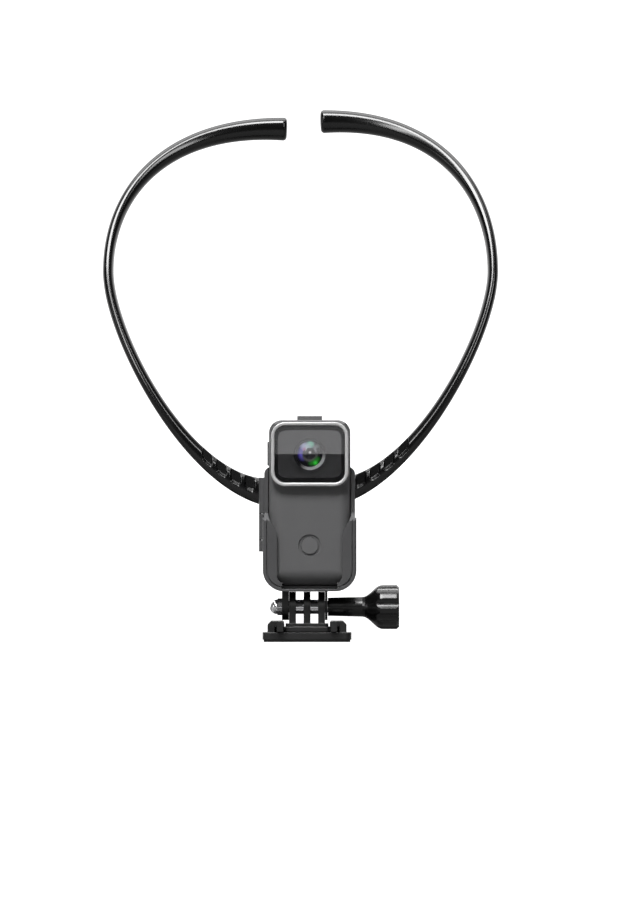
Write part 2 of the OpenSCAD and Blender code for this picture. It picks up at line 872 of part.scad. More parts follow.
// a springy side finger of the buckle, with a round root and a raised thumb tab at its free end
module release_finger(side) {
    translate([side * finger_x, 0, tray_low]) {
        translate([0, finger_y, 0]) cylinder(r = finger_root, h = tray_t);
        block([-finger_w / 2, finger_end, 0], [finger_w / 2, finger_y, tray_t]);
        block([-tab_w / 2, tab_y[0], 0], [tab_w / 2, tab_y[1], tray_t + tab_h]);
    }
}

module release_finger_left() {
    color([0.1, 0.1, 0.1]) at_pivot() release_finger(-1);
}

module release_finger_right() {
    color([0.1, 0.1, 0.1]) at_pivot() release_finger(1);
}

module thumb_knob() {
    flare = [for (i = [0:8]) [knob_neck_r[1] + (knob_r - knob_neck_r[1]) * (1 - cos(180 * i / 8)) / 2,
                              knob_neck_l + knob_flare_l * i / 8]];
    head = [[knob_r, knob_l - 1], [knob_r - 1, knob_l], [0, knob_l]];
    bore = [[0, knob_bore_l], [bolt_r, knob_bore_l], [bolt_r, 0], [knob_neck_r[0], 0]];
    color([0.06, 0.06, 0.06]) at_pivot() translate([knob_x, 0, 0]) difference() {
        rotate([0, 90, 0]) rotate_extrude() polygon(concat(bore, flare, head));
        for (i = [0:flutes - 1]) {
            rotate([360 * i / flutes, 0, 0]) translate([knob_neck_l + 6, 0, knob_r + flute_out])
                rod_x(flute_r, 0, knob_l);
        }
    }
}

module clamp_bolt() {
    color("gainsboro") at_pivot() rod_x(bolt_r, -ear_left - nut_bore_l + 0.4, knob_x + knob_bore_l);
}

// one rail's section for the right side, with its lip over the tray
module rail_section() {
    foot = base_top - 0.1;
    lip = tray_top + rail_gap;
    polygon([
        [rail_foot, foot], [rail_out, foot], [rail_out, rail_top - 1.5], [rail_out - 1.5, rail_top],
        [rail_in + 0.6, rail_top], [rail_in, rail_top - 0.6], [rail_in, lip], [rail_foot, lip]
    ]);
}

module base_plate() {
    color([0.1, 0.1, 0.1]) at_pivot() {
        translate([0, 0, base_low]) linear_extrude(base_top - base_low) rounded(base_w, base_d, 3);
        across(-base_d / 2 + 1, base_d / 2 - 1) {
            rail_section();
            mirror([1, 0]) rail_section();
        }
        block([-rail_foot - 0.1, stop_y, base_top - 0.1], [rail_foot + 0.1, base_d / 2 - 1, tray_top]);
    }
}

module adhesive_pad() {
    color([0.16, 0.16, 0.16]) at_pivot() translate([0, 0, pad_low]) linear_extrude(base_low - pad_low)
        rounded(base_w - 1, base_d - 1, 2.5);
}

camera_housing();
camera_rear_cover();
case_gasket();
case_screws();
lens_trim_ring();
lens_window();
lens_mask();
lens_baffle();
lens_bezel();
lens_front_element();
lens_barrel();
lens_middle_element();
lens_rear_element();
image_sensor();
sensor_board();
main_board();
battery();
heat_plate();
button_switches();
speaker();
microphone();
charging_socket();
card_socket();
status_light();
front_button();
top_button();
side_button();
cradle_shell();
ear_bracket();
bracket_screws();
acorn_nut();
clamp_hinge_pin();
clamp_door();
clamp_pad();
neck_band_centre();
neck_core_centre();
left_arm();
left_arm_core();
right_arm();
right_arm_core();
buckle();
spacer_sleeves();
release_finger_left();
release_finger_right();
thumb_knob();
clamp_bolt();
base_plate();
adhesive_pad();
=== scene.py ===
"""Looks of the neck-mounted action camera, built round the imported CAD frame. Lengths are in metres."""
import math

import bmesh
import bpy
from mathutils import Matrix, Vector

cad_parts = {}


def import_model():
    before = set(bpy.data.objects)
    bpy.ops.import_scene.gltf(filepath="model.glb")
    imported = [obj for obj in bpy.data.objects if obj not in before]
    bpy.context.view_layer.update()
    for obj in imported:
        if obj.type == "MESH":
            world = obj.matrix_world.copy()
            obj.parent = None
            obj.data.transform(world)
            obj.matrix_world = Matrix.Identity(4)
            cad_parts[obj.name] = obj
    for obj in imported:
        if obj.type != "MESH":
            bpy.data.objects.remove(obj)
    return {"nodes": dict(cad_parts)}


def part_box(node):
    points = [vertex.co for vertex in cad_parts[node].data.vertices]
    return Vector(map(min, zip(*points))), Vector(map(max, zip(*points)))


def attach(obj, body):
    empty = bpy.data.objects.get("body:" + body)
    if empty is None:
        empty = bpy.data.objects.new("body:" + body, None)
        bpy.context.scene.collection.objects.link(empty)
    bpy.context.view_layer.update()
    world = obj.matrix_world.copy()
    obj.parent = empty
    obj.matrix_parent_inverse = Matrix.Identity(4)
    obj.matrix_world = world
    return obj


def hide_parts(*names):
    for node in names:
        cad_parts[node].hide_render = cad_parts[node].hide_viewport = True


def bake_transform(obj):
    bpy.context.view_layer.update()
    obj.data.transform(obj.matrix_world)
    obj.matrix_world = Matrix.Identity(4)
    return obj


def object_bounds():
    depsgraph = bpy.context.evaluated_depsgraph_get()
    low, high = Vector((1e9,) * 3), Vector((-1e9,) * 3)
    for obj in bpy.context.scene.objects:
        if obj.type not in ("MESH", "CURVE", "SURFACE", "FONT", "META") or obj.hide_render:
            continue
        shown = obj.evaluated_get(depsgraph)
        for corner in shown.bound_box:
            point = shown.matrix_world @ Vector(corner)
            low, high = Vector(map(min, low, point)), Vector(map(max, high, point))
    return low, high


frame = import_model()
CAD_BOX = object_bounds()
MM = 0.001
BACK = Vector((0, 1, 0))


# ---------- places taken from the frame ----------

def centre(node):
    low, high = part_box(node)
    return (low + high) / 2


CAMERA_FRONT_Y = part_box("camera_housing")[0].y
RING_LOW, RING_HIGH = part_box("lens_trim_ring")
LENS = centre("lens_trim_ring")
LENS_R = (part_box("lens_front_element")[1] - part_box("lens_front_element")[0]).x / 2
FLOOR_Z = CAD_BOX[0].z


# ---------- material helpers ----------

class Nodes:
    """A small wrapper that adds and links shader nodes in one material."""

    def __init__(self, name):
        self.material = bpy.data.materials.new(name)
        self.material.use_nodes = True
        self.tree = self.material.node_tree
        self.shader = self.tree.nodes["Principled BSDF"]
        self.coords = self.add("ShaderNodeTexCoord").outputs["Object"]

    def add(self, kind, **values):
        node = self.tree.nodes.new(kind)
        for key, value in values.items():
            setattr(node, key, value)
        return node

    def link(self, a, b):
        self.tree.links.new(a, b)

    def feed(self, value, socket):
        self.link(value, self.shader.inputs[socket])

    def set(self, **values):
        for key, value in values.items():
            self.shader.inputs[key.replace("_", " ")].default_value = value

    def noise(self, scale, detail=3.0, rough=0.55, stretch=None):
        node = self.add("ShaderNodeTexNoise")
        node.inputs["Scale"].default_value = scale
        node.inputs["Detail"].default_value = detail
        node.inputs["Roughness"].default_value = rough
        if stretch is None:
            self.link(self.coords, node.inputs["Vector"])
        else:
            mapping = self.add("ShaderNodeMapping")
            mapping.inputs["Scale"].default_value = stretch
            self.link(self.coords, mapping.inputs["Vector"])
            self.link(mapping.outputs["Vector"], node.inputs["Vector"])
        return node.outputs["Fac"]

    def span(self, value, low, high, start=0.0, end=1.0):
        """value between start and end, as a number between low and high."""
        node = self.add("ShaderNodeMapRange")
        for key, number in (("From Min", start), ("From Max", end), ("To Min", low), ("To Max", high)):
            node.inputs[key].default_value = number
        self.link(value, node.inputs["Value"])
        return node.outputs["Result"]

    def mix(self, factor, a, b):
        node = self.add("ShaderNodeMix", data_type="RGBA")
        self.link(factor, node.inputs["Factor"])
        for socket, colour in ((node.inputs[6], a), (node.inputs[7], b)):
            if isinstance(colour, tuple):
                socket.default_value = (*colour, 1)
            else:
                self.link(colour, socket)
        return node.outputs[2]

    def blend(self, factor, a, b):
        node = self.add("ShaderNodeMixShader")
        self.link(factor, node.inputs["Fac"])
        self.link(a, node.inputs[1])
        self.link(b, node.inputs[2])
        return node.outputs["Shader"]

    def bump(self, height, strength, distance, edge=0.0):
        """Bumps on the surface; edge rounds sharp edges in the shading by that radius."""
        node = self.add("ShaderNodeBump")
        node.inputs["Strength"].default_value = strength
        node.inputs["Distance"].default_value = distance
        self.link(height, node.inputs["Height"])
        if edge:
            bevel = self.add("ShaderNodeBevel", samples=4)
            bevel.inputs["Radius"].default_value = edge
            self.link(bevel.outputs["Normal"], node.inputs["Normal"])
        self.feed(node.outputs["Normal"], "Normal")


def plastic(name, dark, light, rough, grain=2600.0, grain_depth=0.00002, strength=0.35, edge=0.0,
            specular=0.5):
    """Moulded plastic: slight colour drift, uneven gloss and a fine spark-eroded grain."""
    n = Nodes(name)
    drift = n.noise(90, 4)
    n.feed(n.mix(drift, dark, light), "Base Color")
    n.feed(n.span(n.noise(220, 5), rough[0], rough[1], 0.3, 0.7), "Roughness")
    n.set(Specular_IOR_Level=specular)
    n.bump(n.noise(grain, 2), strength, grain_depth, edge)
    return n.material


def metal(name, dark, light, rough, brushed=None, edge=0.0, bump=0.15, metallic=1.0):
    n = Nodes(name)
    n.feed(n.mix(n.noise(300, 4), dark, light), "Base Color")
    grain = n.noise(900, 3, stretch=brushed) if brushed else n.noise(700, 4)
    n.feed(n.span(grain, rough[0], rough[1], 0.3, 0.7), "Roughness")
    n.set(Metallic=metallic)
    n.bump(grain, bump, 0.00001, edge)
    return n.material


SILICONE_TONES = ((0.002, 0.002, 0.002), (0.004, 0.004, 0.0043))
CUT = "cut_share"
CUT_ROUGHNESS = 0.22


def silicone():
    """Black silicone with an even gloss, drifting a little, and matt where a pocket or notch is cut."""
    n = Nodes("glossy_silicone")
    cut = n.add("ShaderNodeAttribute", attribute_name=CUT).outputs["Fac"]
    rough = n.add("ShaderNodeMath", operation="MAXIMUM")
    n.link(n.span(n.noise(60, 3), 0.14, 0.18, 0.35, 0.65), rough.inputs[0])
    n.link(n.span(cut, 0.0, CUT_ROUGHNESS, 0.1, 0.6), rough.inputs[1])
    n.feed(rough.outputs["Value"], "Roughness")
    n.feed(n.mix(n.noise(60, 4), SILICONE_TONES[0], SILICONE_TONES[1]), "Base Color")
    n.set(Specular_IOR_Level=0.55)
    n.bump(n.noise(40, 2), 0.1, 0.00002)
    return n.material


TRIM_TONES = ((0.48, 0.48, 0.48), (0.54, 0.54, 0.54))
# Share of the painted reflection in the window's upper half: over the black border, then over the grey
# panel.
PAINTED_REFLECTION_SHARE = (0.06, 0.165)
WINDOW_PANEL = (13.3 * MM, 10.0 * MM)


def window_glass():
    """Clear glass; its upper half carries a painted reflection, a pale diffuse layer that is fainter over
    the black border.
    """
    n = Nodes("window_glass")
    n.tree.nodes.remove(n.shader)
    patch = LensPaint(n, tuple(LENS), WINDOW_PANEL)
    through = n.add("ShaderNodeBsdfTransparent")
    n.link(n.mix(n.noise(80, 2), (0.92, 0.92, 0.93), (0.94, 0.94, 0.95)), through.inputs["Color"])
    # Painted reflection: a pale diffuse layer over the upper half of the glass stands in for a light
    # reflected from above the front.
    painted_reflection = n.add("ShaderNodeBsdfDiffuse")
    painted_reflection.inputs["Color"].default_value = (0.8, 0.8, 0.81, 1)
    share = patch.times(n.span(patch.panel(), PAINTED_REFLECTION_SHARE[0], PAINTED_REFLECTION_SHARE[1]), patch.above(0.0, 0.008))
    body = n.blend(share, through.outputs["BSDF"], painted_reflection.outputs["BSDF"])
    gloss = n.add("ShaderNodeBsdfGlossy")
    gloss.inputs["Roughness"].default_value = 0.08
    fresnel = n.add("ShaderNodeFresnel")
    fresnel.inputs["IOR"].default_value = 1.5
    surface = n.blend(fresnel.outputs["Fac"], body, gloss.outputs["BSDF"])
    n.link(surface, n.tree.nodes["Material Output"].inputs["Surface"])
    return n.material


class LensPaint:
    """Masks in a patch of the lens block's front; its half-sizes are 1 and its centre is the lens axis."""

    def __init__(self, nodes, about, half):
        self.n = nodes
        flat = nodes.add("ShaderNodeVectorMath", operation="SUBTRACT")
        flat.inputs[1].default_value = about
        nodes.link(nodes.coords, flat.inputs[0])
        unit = nodes.add("ShaderNodeVectorMath", operation="MULTIPLY")
        unit.inputs[1].default_value = (1 / half[0], 0, 1 / half[1])
        nodes.link(flat.outputs["Vector"], unit.inputs[0])
        self.place = unit.outputs["Vector"]

    def part(self, axis):
        split = self.n.add("ShaderNodeSeparateXYZ")
        self.n.link(self.place, split.inputs["Vector"])
        return split.outputs[axis]

    def above(self, z, soft):
        """0 below a height, 1 above it."""
        return self.n.span(self.part("Z"), 0, 1, z - soft, z + soft)

    def power(self, value, exponent):
        node = self.n.add("ShaderNodeMath", operation="POWER")
        self.n.link(value, node.inputs[0])
        node.inputs[1].default_value = exponent
        return node.outputs["Value"]

    def panel(self, exponent=8.0):
        """1 inside the patch's rounded rectangle, 0 outside it."""
        total = self.n.add("ShaderNodeMath", operation="ADD")
        for i, axis in enumerate("XZ"):
            self.n.link(self.power(self.part(axis), exponent), total.inputs[i])
        return self.n.span(total.outputs["Value"], 1, 0, 0.9, 1.15)

    def spot(self, x, z, size, soft=1.0):
        """1 at a place, fading to 0 at size; soft is the share of size that fades."""
        gap = self.n.add("ShaderNodeVectorMath", operation="DISTANCE")
        gap.inputs[1].default_value = (x, 0, z)
        self.n.link(self.place, gap.inputs[0])
        return self.n.span(gap.outputs["Value"], 1, 0, size * (1 - soft), size)

    def times(self, a, b):
        node = self.n.add("ShaderNodeMath", operation="MULTIPLY")
        self.n.link(a, node.inputs[0])
        self.n.link(b, node.inputs[1])
        return node.outputs["Value"]

    def crescent(self, x, z, size, hole_x, hole_z, hole):
        """A disc with another disc cut out of it, both with soft edges."""
        cut = self.n.span(self.spot(hole_x, hole_z, hole, 0.3), 1, 0)
        return self.times(self.spot(x, z, size, 0.3), cut)


def lens_painted_reflections():
    """The domed front glass: the coloured reflections of its coating and a white highlight are painted on
    the dark glass, one soft patch over another, and glow faintly.
    """
    n = Nodes("lens_glass")
    patch = LensPaint(n, tuple(centre("lens_front_element")), (LENS_R, LENS_R))
    # Painted reflections: each coloured patch stands in for a reflection in the coating; the small white
    # spot is a painted highlight.
    reflection_patches = (
        (patch.spot(0.0, 0.45, 0.80, 0.5), (0.10, 0.10, 0.14)),
        (patch.times(patch.crescent(-0.04, 0.03, 0.97, 0.27, -0.02, 0.88),
                     patch.spot(-0.75, 0.35, 1.0, 0.6)), (0.16, 0.13, 0.70)),
        (patch.spot(-0.42, 0.62, 0.42, 0.7), (0.70, 0.72, 1.0)),
        (patch.spot(0.05, 0.78, 0.38, 0.6), (0.40, 0.95, 0.72)),
        (patch.spot(-0.14, 0.60, 0.34, 0.8), (0.72, 0.92, 0.98)),
        (patch.spot(0.58, 0.60, 0.24, 0.9), (0.30, 0.34, 0.33)),
        (patch.spot(-0.40, 0.36, 0.22, 0.9), (0.95, 0.42, 0.80)),
        (patch.spot(-0.02, -0.06, 0.60, 0.2), (0.008, 0.008, 0.012)),
        (patch.crescent(0.0, 0.02, 0.68, 0.0, 0.10, 0.66), (0.15, 0.15, 0.14)),
        (patch.times(patch.crescent(0.10, -0.12, 0.88, -0.16, 0.22, 0.98),
                     patch.spot(0.46, -0.74, 0.66, 0.5)), (0.02, 0.26, 0.02)),
        (patch.spot(0.46, -0.70, 0.24, 0.8), (0.05, 0.80, 0.06)),
        (patch.spot(0.03, 0.14, 0.14, 0.6), (1.0, 1.0, 1.0)),
    )
    colour = n.mix(n.noise(300, 2), (0.004, 0.004, 0.006), (0.008, 0.008, 0.012))
    for mask, layer in reflection_patches:
        colour = n.mix(mask, colour, layer)
    n.feed(colour, "Base Color")
    # The painted reflections and highlight are also made to glow faintly, as emission.
    n.feed(colour, "Emission Color")
    n.set(Roughness=0.08, Coat_Weight=0.3, Coat_Roughness=0.03, Emission_Strength=0.5)
    return n.material


def lens_bezel():
    """The ring round the front glass: dark, with a painted highlight at the lower right, a pale crescent
    that glows faintly.
    """
    n = Nodes("bezel_grey")
    patch = LensPaint(n, tuple(centre("lens_front_element")), (LENS_R, LENS_R))
    dark = n.mix(n.noise(400, 3), (0.016, 0.016, 0.017), (0.024, 0.024, 0.025))
    # Painted highlight: a pale crescent where the bevel would catch the light, also made to glow faintly
    # through emission.
    colour = n.mix(patch.spot(0.55, -0.95, 1.3, 0.45), dark, (0.90, 0.90, 0.90))
    n.feed(colour, "Base Color")
    n.feed(colour, "Emission Color")
    n.feed(n.span(n.noise(300, 3), 0.25, 0.35), "Roughness")
    n.set(Emission_Strength=0.25)
    return n.material


def inner_glass(name):
    """The lens elements behind the front one: dark, smooth and faintly blue."""
    n = Nodes(name)
    n.feed(n.mix(n.noise(300, 2), (0.01, 0.012, 0.03), (0.02, 0.02, 0.05)), "Base Color")
    n.feed(n.span(n.noise(200, 2), 0.03, 0.06), "Roughness")
    return n.material


def window_mask():
    """The print behind the window: a raised grey panel in a glossy black border."""
    n = Nodes("mask_black")
    panel = LensPaint(n, tuple(LENS), WINDOW_PANEL).panel()
    grey = n.mix(n.noise(160, 3), (0.225, 0.225, 0.228), (0.245, 0.245, 0.248))
    black = n.mix(n.noise(400, 3), (0.008, 0.008, 0.008), (0.012, 0.012, 0.012))
    n.feed(n.mix(panel, black, grey), "Base Color")
    n.feed(n.span(n.noise(200, 3), 0.3, 0.36), "Roughness")
    n.set(Specular_IOR_Level=0.3)
    n.bump(n.noise(500, 2), 0.02, 0.00001)
    return n.material


# ---------- mesh helpers ----------

def new_piece(name, vertices, faces, material):
    mesh = bpy.data.meshes.new(name)
    mesh.from_pydata([tuple(v) for v in vertices], [], faces)
    mesh.validate()
    obj = bpy.data.objects.new(name, mesh)
    bpy.context.scene.collection.objects.link(obj)
    bm = bmesh.new()
    bm.from_mesh(mesh)
    bmesh.ops.recalc_face_normals(bm, faces=bm.faces)
    bm.to_mesh(mesh)
    bm.free()
    for polygon in mesh.polygons:
        polygon.use_smooth = True
    mesh.materials.append(material)
    return obj


def tube_faces(rings, around, closed=False):
    """Quads between rings of the same size."""
    faces = []
    for j in range(rings if closed else rings - 1):
        k = (j + 1) % rings
        for i in range(around):
            i2 = (i + 1) % around
            faces.append((j * around + i, j * around + i2, k * around + i2, k * around + i))
    return faces


def signed_power(value, power):
    return math.copysign(abs(value) ** power, value)


def smooth_step(t):
    t = min(max(t, 0.0), 1.0)
    return t * t * (3 - 2 * t)


def bezier(points, t):
    a, b, c, d = (Vector(p) for p in points)
    return a * (1 - t) ** 3 + b * (3 * t * (1 - t) ** 2) + c * (3 * t * t * (1 - t)) + d * t ** 3


# ---------- neck band ----------

FLEX_X = 14 * MM
BAND_Z = -77.2 * MM
WIDE_X = 81.2 * MM
WIDE_Z = 16.2 * MM
LEAN = 46 * MM
CENTRE_DIP = 0.8 * MM
ROOT_W, SIDE_W, END_W = 11.8 * MM, 4.8 * MM, 10 * MM
ROOT_D, SIDE_D = 5.6 * MM, 10 * MM
END = {"left": (5.7 * MM, 76.5 * MM), "right": (8.4 * MM, 79.7 * MM)}
FIRST_POCKET = {"left": 21.4 * MM, "right": 25.4 * MM}
POCKET_PITCH = 5.95 * MM
POCKETS = 4
POCKET_HALF_W = 2.0 * MM
POCKET_PLACE = (-0.42, 0.56)
POCKET_FLOOR = -0.3
NOTCH_PLACE = (1.0, 0.2)
NOTCH_FLOOR = -0.45
POCKET_NEAR = 4 * MM
FIRST_STEP, FINE_STEP, COARSE_STEP = 0.3 * MM, 0.12 * MM, 1.6 * MM
POCKETS_END = 0.6
END_FILLET = 1.6 * MM
AROUND = 96
INNER_POWER = 2 / 2.1
OUTER_POWER = 2 / 3.0


class Arm:
    """One half of the neck band, from the middle of the clamped strap to its back end, on the +X side."""

    def __init__(self, side):
        end_x, end_z = END[side]
        self.low = ((FLEX_X, 0, BAND_Z), (FLEX_X + 34.7 * MM, 0, BAND_Z + 4.5 * MM),
                    (WIDE_X, 0, WIDE_Z - 25.9 * MM), (WIDE_X, 0, WIDE_Z))
        self.high = ((WIDE_X, 0, WIDE_Z), (WIDE_X, 0, WIDE_Z + 34 * MM),
                     (end_x + 50.8 * MM, 0, end_z + 2.4 * MM), (end_x, 0, end_z))
        self.pockets = [FIRST_POCKET[side] + k * POCKET_PITCH for k in range(POCKETS)]
        self.lengths = self.measure()
        self.cuts = []

    def point(self, s):
        """Centreline for s from -1 (middle of the strap) through 0 (flex joint) to 2 (back end)."""
        if s < 0:
            x = FLEX_X * (1 + s)
            return Vector((x, 0, BAND_Z - CENTRE_DIP + CENTRE_DIP * (x / FLEX_X) ** 2))
        p = bezier(self.low, s) if s < 1 else bezier(self.high, s - 1)
        p.y = LEAN * ((p.z - BAND_Z) / (END["left"][1] - BAND_Z)) ** 2
        return p

    def measure(self, steps=900):
        """Arc length from the flex joint, at equal steps of s."""
        total, last, table = 0.0, self.point(0), [0.0]
        for i in range(1, steps + 1):
            p = self.point(2 * i / steps)
            total += (p - last).length
            last = p
            table.append(total)
        return table

    def s_at(self, length):
        """The s that lies that far along the arm."""
        steps = len(self.lengths) - 1
        for i in range(steps):
            if self.lengths[i + 1] >= length:
                share = (length - self.lengths[i]) / (self.lengths[i + 1] - self.lengths[i])
                return 2 * (i + share) / steps
        return 2.0

    def width(self, s):
        if s < 0:
            return ROOT_W
        if s < 1:
            return SIDE_W + (ROOT_W - SIDE_W) * (1 - s) ** 4
        return SIDE_W + (END_W - SIDE_W) * (s - 1) ** 1.7

    def depth(self, s):
        return (ROOT_D + (SIDE_D - ROOT_D) * smooth_step((s - 0.14) / 0.7)
                - (SIDE_D - END_W) * smooth_step((s - 1.2) / 0.8))

    def frame(self, s):
        """Centre, direction along the band, direction across its width, direction through its depth."""
        along = (self.point(min(s + 0.01, 2)) - self.point(s - 0.01)).normalized()
        through = (BACK - along * along.dot(BACK)).normalized()
        return self.point(s), along, through.cross(along).normalized(), through

    def cut_share(self, x, across, place):
        """How much of the pockets' or notches' depth is cut at a place on the band, from 0 to 1."""
        middle, half = place
        share = 0.0
        for pocket in self.pockets:
            reach = ((x - pocket) / POCKET_HALF_W) ** 4 + ((across - middle) / half) ** 4
            share = max(share, smooth_step((1.6 - reach) / 1.1))
        return share

    def relief(self, x, u, v):
        """v with the front pockets and outer notches cut, and how much of their depth is cut there."""
        deepest = 0.0
        for place, floor_v in ((POCKET_PLACE, POCKET_FLOOR), (NOTCH_PLACE, NOTCH_FLOOR)):
            if v < floor_v:
                share = self.cut_share(x, u, place)
                v += share * (floor_v - v)
                deepest = max(deepest, share)
        return v, deepest

    def ring(self, s, shrink=0.0, push=0.0):
        """One section: rounder on the inside of the loop, squarer on the outside."""
        c, along, across, through = self.frame(s)
        c = c + along * push
        w, d = self.width(s) / 2 - shrink, self.depth(s) / 2 - shrink
        points = []
        for i in range(AROUND):
            a = 2 * math.pi * i / AROUND
            power = INNER_POWER if math.cos(a) < 0 else OUTER_POWER
            u, v = signed_power(math.cos(a), power), signed_power(math.sin(a), power)
            share = 0.0
            if 0 < s < POCKETS_END:
                v, share = self.relief((c + across * (w * u)).x, u, v)
            points.append(c + across * (w * u) + through * (d * v))
            self.cuts.append(share)
        return points

    def rings(self):
        strap = [self.ring(-1 + 0.1 * i) for i in range(10)]
        total = self.lengths[-1]
        places, at = [], FIRST_STEP
        while at < total - END_FILLET:
            s = self.s_at(at)
            places.append(s)
            near = self.pockets[0] - POCKET_NEAR < self.point(s).x < self.pockets[-1] + POCKET_NEAR
            at += FINE_STEP if near and s < 1 else COARSE_STEP
        arm = [self.ring(s) for s in places]
        last = self.s_at(total - END_FILLET)
        fillet = [math.radians(a) for a in (0, 15, 30, 45, 60, 75, 90)]
        tip = [self.ring(last, END_FILLET * (1 - math.cos(a)), END_FILLET * math.sin(a)) for a in fillet]
        flat = [self.ring(last, END_FILLET + k * MM, END_FILLET + 0.12 * MM * k) for k in (1, 2)]
        return strap + arm + tip + flat


def neck_sleeve(side, material):
    sign = 1 if side == "right" else -1
    arm = Arm(side)
    rings = arm.rings()
    vertices = [Vector((sign * p.x, p.y, p.z)) for ring in rings for p in ring]
    faces = tube_faces(len(rings), AROUND)
    count = len(vertices)
    faces.append(tuple(range(AROUND)))
    faces.append(tuple(range(count - AROUND, count)))
    sleeve = new_piece(f"{side}_neck_sleeve", vertices, faces, material)
    sleeve.data.attributes.new(CUT, "FLOAT", "POINT").data.foreach_set("value", arm.cuts)
    for cap in sleeve.data.polygons[-2:]:
        cap.use_smooth = False
    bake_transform(sleeve)
    return sleeve


# ---------- camera ----------

def rounded_loop(half_w, half_h, radius, steps=10):
    """Points and outward directions of a rounded rectangle in X and Z."""
    loop = []
    for quarter, (sx, sz) in enumerate(((1, 1), (-1, 1), (-1, -1), (1, -1))):
        for i in range(steps + 1):
            a = math.pi / 2 * (quarter + i / steps)
            out = Vector((math.cos(a), 0, math.sin(a)))
            loop.append((Vector((sx * (half_w - radius), 0, sz * (half_h - radius))) + out * radius, out))
    return loop


def trim_ring(material):
    """The silver ring round the window: a flat-topped bead with soft shoulders."""
    half = (RING_HIGH - RING_LOW) / 2
    thick = 1.5 * MM
    rise = 0.5 * MM
    shoulder = 0.45 * MM
    dip = 0.02 * MM
    corner = 6 * MM
    depth = RING_HIGH.y - RING_LOW.y
    profile = [(0, depth), (0, rise + 0.15 * MM)]
    profile += [(shoulder * (1 - math.cos(a)), shoulder * (1 - math.sin(a)) + dip)
                for a in (math.radians(t) for t in range(15, 91, 15))]
    profile += [(thick - 0.5 * MM, 0.0), (thick - 0.25 * MM, 0.08 * MM)]
    profile += [(thick - 0.06 * MM, 0.3 * MM), (thick, rise + 0.3 * MM), (thick, depth)]
    loop = rounded_loop(half.x, half.z, corner, 14)
    vertices = [Vector((LENS.x, RING_LOW.y, LENS.z)) + p - out * inset + BACK * back
                for p, out in loop for inset, back in profile]
    rows, cols = len(loop), len(profile)
    ring = new_piece("lens_trim_ring_piece", vertices, tube_faces(rows, cols, closed=True), material)
    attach(ring, "camera")
    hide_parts("lens_trim_ring")
    return ring


# ---------- materials of the carried-over nodes ----------

def paint(material, *names):
    for name in names:
        obj = frame["nodes"][name]
        obj.data.materials.clear()
        obj.data.materials.append(material)


FINE_GRAIN = 0.00001
COARSE_GRAIN = 0.00004
CASE_EDGE = 0.0003
MOUNT_EDGE = 0.0004
CRADLE_EDGE = 0.0005


def paint_nodes():
    body = plastic("body_plastic", (0.108, 0.108, 0.110), (0.122, 0.122, 0.124), (0.42, 0.52),
                   edge=CASE_EDGE, specular=0.2)
    cradle = plastic("cradle_plastic", (0.066, 0.066, 0.068), (0.078, 0.078, 0.080), (0.30, 0.40),
                     edge=CRADLE_EDGE, specular=0.35)
    black = plastic("mount_black", (0.006, 0.006, 0.006), (0.011, 0.011, 0.0115), (0.3, 0.4),
                    1500, FINE_GRAIN, edge=MOUNT_EDGE)
    knob = plastic("knob_black", (0.002, 0.002, 0.002), (0.005, 0.005, 0.005), (0.2, 0.28),
                   900, FINE_GRAIN, edge=MOUNT_EDGE)
    button = plastic("button_grey", (0.108, 0.108, 0.110), (0.120, 0.120, 0.122), (0.36, 0.44),
                     edge=CASE_EDGE)
    mask = window_mask()
    rubber = plastic("soft_rubber", (0.012, 0.012, 0.012), (0.022, 0.022, 0.022), (0.6, 0.75),
                     1200, COARSE_GRAIN)
    chrome = metal("polished_chrome", (0.80, 0.80, 0.82), (0.88, 0.88, 0.90), (0.10, 0.13), bump=0.01)
    steel = metal("small_steel", (0.55, 0.55, 0.57), (0.66, 0.66, 0.68), (0.22, 0.36), edge=0.0001)
    core = metal("spring_steel", (0.42, 0.42, 0.43), (0.52, 0.52, 0.53), (0.3, 0.45), brushed=(1, 1, 0.1))
    board = plastic("board_green", (0.010, 0.07, 0.03), (0.02, 0.11, 0.05), (0.25, 0.4), 900)
    sensor = plastic("sensor_dark", (0.03, 0.02, 0.07), (0.05, 0.04, 0.10), (0.08, 0.15), 5000)
    foil = metal("battery_foil", (0.20, 0.26, 0.34), (0.28, 0.34, 0.42), (0.35, 0.5), brushed=(1, 1, 0.05))
    part = plastic("part_black", (0.02, 0.02, 0.02), (0.035, 0.035, 0.035), (0.4, 0.55), 1500)
    light = plastic("light_pipe", (0.60, 0.72, 0.64), (0.70, 0.80, 0.72), (0.15, 0.25), 2500)
    pad = plastic("pad_foam", (0.010, 0.010, 0.010), (0.020, 0.020, 0.020), (0.7, 0.85),
                  1400, COARSE_GRAIN)
    paint(body, "camera_housing", "camera_rear_cover", "top_button", "side_button")
    paint(cradle, "cradle_shell", "clamp_door")
    paint(black, "ear_bracket", "buckle", "release_finger_left", "release_finger_right", "base_plate")
    paint(knob, "thumb_knob")
    paint(mask, "lens_mask", "lens_baffle", "lens_barrel")
    paint(button, "front_button")
    paint(rubber, "case_gasket", "clamp_pad")
    paint(chrome, "acorn_nut", "spacer_sleeves", "clamp_bolt")
    paint(steel, "case_screws", "bracket_screws", "clamp_hinge_pin", "heat_plate")
    paint(steel, "charging_socket", "card_socket")
    paint(core, "neck_core_centre", "left_arm_core", "right_arm_core")
    paint(lens_bezel(), "lens_bezel")
    paint(board, "sensor_board", "main_board")
    paint(sensor, "image_sensor")
    paint(foil, "battery")
    paint(part, "button_switches", "speaker", "microphone")
    paint(light, "status_light")
    paint(pad, "adhesive_pad")
    paint(window_glass(), "lens_window")
    paint(lens_painted_reflections(), "lens_front_element")
    paint(inner_glass("inner_lens_glass"), "lens_middle_element", "lens_rear_element")


# ---------- stage, light and camera ----------

